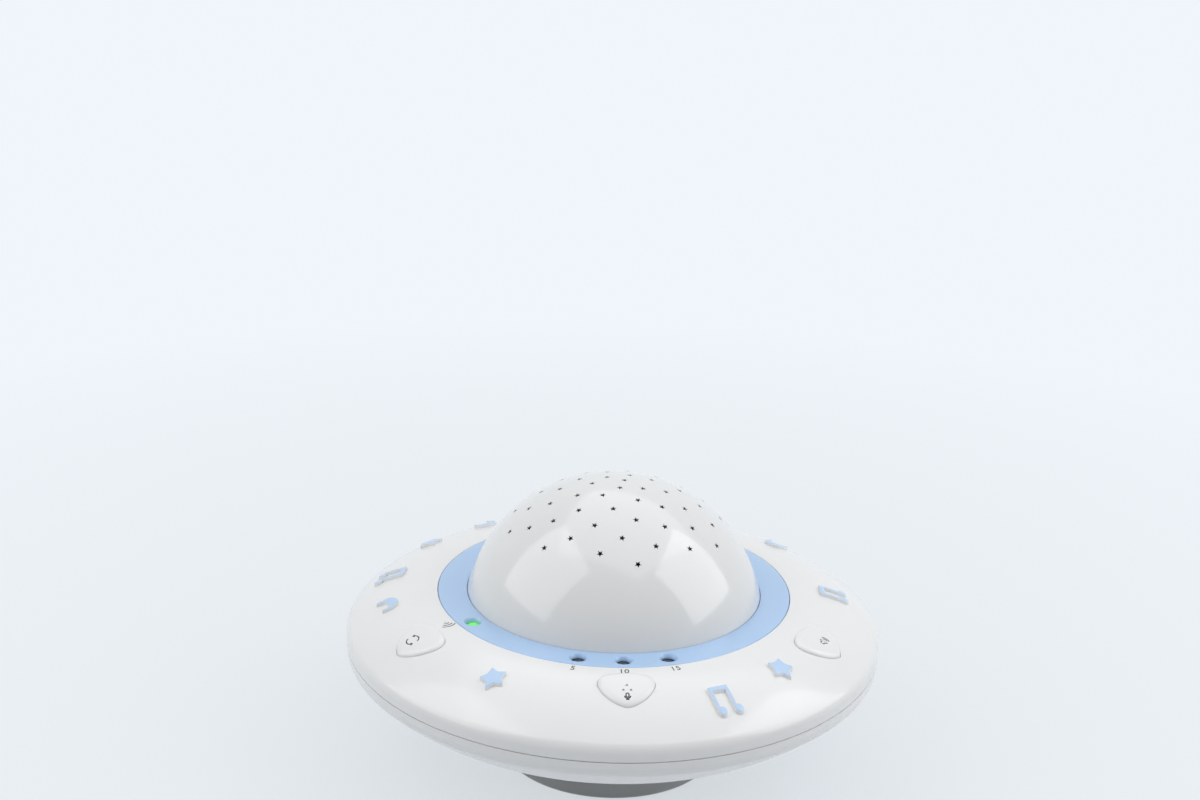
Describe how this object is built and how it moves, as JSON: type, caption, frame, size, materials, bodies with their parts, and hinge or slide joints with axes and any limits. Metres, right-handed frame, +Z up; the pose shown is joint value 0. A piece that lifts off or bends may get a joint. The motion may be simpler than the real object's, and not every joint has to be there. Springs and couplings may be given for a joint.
{
  "type": "star night light projector",
  "caption": "Saucer-shaped star night light: a pierced dome on a round two-part shell with a foot, press pads, indicator lamps and raised badges.",
  "frame": {"origin": "on the surface it stands on, under the middle of the foot", "axes": "+Z up through the dome; -Y is the front, with the microphone pad; +X is to the right seen from the front"},
  "size_m": [0.21, 0.21, 0.1156],
  "materials": {
    "shell_white": "glossy moulded plastic, white",
    "dome_white": "glossy moulded plastic, white outside and dark inside",
    "ring_blue": "satin moulded plastic, pale blue",
    "badge_blue": "satin moulded plastic, pale blue",
    "foot_grey": "satin moulded plastic, light grey",
    "foot_rubber": "soft matt rubber",
    "led_green": "clear green resin, lit",
    "led_dark": "smoked resin, unlit",
    "lamp_yellow": "phosphor under clear resin",
    "board_green": "lacquered circuit board",
    "part_black": "moulded component cases",
    "tin_steel": "tinned or zinc-plated steel",
    "spring_steel": "nickel-plated spring steel",
    "speaker_steel": "black-coated pressed steel",
    "speaker_paper": "pulp cone",
    "magnet_ferrite": "ferrite",
    "cell_wrap": "shrink sleeve on a metal can",
    "post_white": "moulded plastic, not seen",
    "wire_sleeve": "PVC insulation"
  },
  "bodies": {
    "housing": {"upper_shell": "shell_white", "lower_shell": "shell_white", "trim_ring": "ring_blue", "star_dome": "dome_white", "mic_cover": "shell_white", "mode_switch": "part_black", "volume_switch": "part_black", "led_leads": "tin_steel", "control_board": "board_green", "board_parts": "part_black", "microphone": "tin_steel", "lamp_post": "post_white", "lamp_board": "board_green", "projector_led": "lamp_yellow", "speaker_frame": "speaker_steel", "speaker_cone": "speaker_paper", "speaker_magnet": "magnet_ferrite", "base_foot": "foot_grey", "battery_door": "foot_grey", "battery_door_screw": "tin_steel", "rubber_feet": "foot_rubber", "battery_springs": "spring_steel", "battery_contacts": "spring_steel", "power_switch": "part_black", "battery_leads": "wire_sleeve", "speaker_leads": "wire_sleeve", "lamp_leads": "wire_sleeve", "vox_led": "led_green", "timer_led_5": "led_dark", "timer_led_10": "led_dark", "timer_led_15": "led_dark", "case_screws": "tin_steel", "board_screws": "tin_steel", "post_screws": "tin_steel", "speaker_screws": "tin_steel", "foot_screws": "tin_steel", "star_badge_1": "badge_blue", "star_badge_2": "badge_blue", "star_badge_3": "badge_blue", "star_badge_4": "badge_blue", "note_badge_1": "badge_blue", "note_badge_2": "badge_blue", "note_badge_3": "badge_blue", "note_badge_4": "badge_blue", "moon_badge_1": "badge_blue", "moon_badge_2": "badge_blue", "moon_badge_3": "badge_blue", "battery_cell_1": "cell_wrap", "battery_cell_2": "cell_wrap", "battery_cell_3": "cell_wrap"},
    "mode_key": {"mode_button": "shell_white", "mode_plunger": "part_black"},
    "volume_key": {"volume_button": "shell_white", "volume_plunger": "part_black"},
    "power_slider": {"power_knob": "part_black"}
  },
  "joints": [
    {"name": "mode_press", "type": "slide", "parent": "housing", "child": "mode_key", "axis": [0, 0, -1], "range_m": [0, 0.0008], "stiffness_N_per_m": 1200, "springref_m": -0.0003},
    {"name": "volume_press", "type": "slide", "parent": "housing", "child": "volume_key", "axis": [0, 0, -1], "range_m": [0, 0.0008], "stiffness_N_per_m": 1200, "springref_m": -0.0003},
    {"name": "power_slide", "type": "slide", "parent": "housing", "child": "power_slider", "axis": [0, 1, 0], "range_m": [0, 0.004]}
  ]
}
